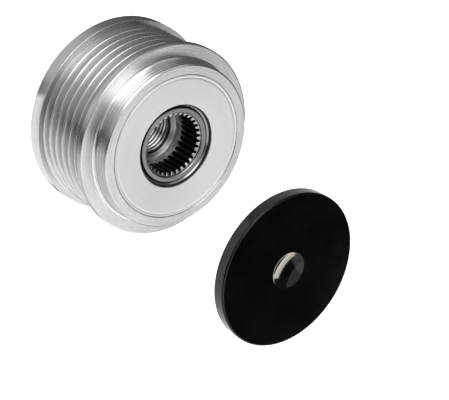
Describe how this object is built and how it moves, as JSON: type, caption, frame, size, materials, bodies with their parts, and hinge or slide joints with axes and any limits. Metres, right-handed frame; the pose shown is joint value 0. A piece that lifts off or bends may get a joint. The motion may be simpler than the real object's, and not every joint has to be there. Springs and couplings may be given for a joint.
{
  "type": "overrunning alternator pulley",
  "caption": "Ribbed-belt pulley on a threaded, serrated hub with a one-way roller clutch and needle bearings inside; its round black dust cap lies beside it.",
  "frame": {"origin": "on the pulley's axis, in the rear face of the hub that it stands on", "axes": "+Z along the axis from the hub's rear face towards the front plate; the dust cap lies towards +Y"},
  "size_m": [0.0825, 0.1745, 0.0365],
  "materials": {
    "turned_steel": "bright zinc plate over fine turning marks",
    "plate_steel": "satin pressed sheet",
    "hub_steel": "machined, lightly oiled",
    "ring_steel": "polished sheet",
    "race_steel": "ground and hardened",
    "roller_steel": "ground bearing steel",
    "spring_steel": "spring strip",
    "seal_steel": "pressed sheet",
    "cage_plastic": "glass-filled moulding",
    "seal_rubber": "smooth moulded rubber",
    "cap_plastic": "high gloss black moulding"
  },
  "bodies": {
    "hub": {"hub": "hub_steel", "front_slinger": "ring_steel", "ramp_sleeve": "race_steel", "clutch_cage": "cage_plastic", "clutch_rollers": "roller_steel", "clutch_springs": "spring_steel", "front_thrust_washer": "race_steel", "rear_thrust_washer": "race_steel", "dust_cap": "cap_plastic"},
    "pulley": {"pulley_ring": "turned_steel", "outer_sleeve": "race_steel", "front_cover_plate": "plate_steel", "front_seal_case": "seal_steel", "front_seal_lip": "seal_rubber", "rear_seal_case": "seal_steel", "rear_seal_lip": "seal_rubber"},
    "front_bearing": {"front_bearing_cage": "cage_plastic", "front_bearing_needles": "roller_steel"},
    "rear_bearing": {"rear_bearing_cage": "cage_plastic", "rear_bearing_needles": "roller_steel"}
  },
  "joints": [
    {"name": "overrun", "type": "hinge", "parent": "hub", "child": "pulley", "pos_m": [0, 0, 0.0176], "axis": [0, 0, 1], "continuous": true},
    {"name": "front_bearing_turn", "type": "hinge", "parent": "hub", "child": "front_bearing", "pos_m": [0, 0, 0.0269], "axis": [0, 0, 1], "continuous": true},
    {"name": "rear_bearing_turn", "type": "hinge", "parent": "hub", "child": "rear_bearing", "pos_m": [0, 0, 0.0109], "axis": [0, 0, 1], "continuous": true}
  ],
  "couplings": [
    {"joint": "front_bearing_turn", "follows": "overrun", "ratio": 0.5493},
    {"joint": "rear_bearing_turn", "follows": "overrun", "ratio": 0.5493}
  ]
}
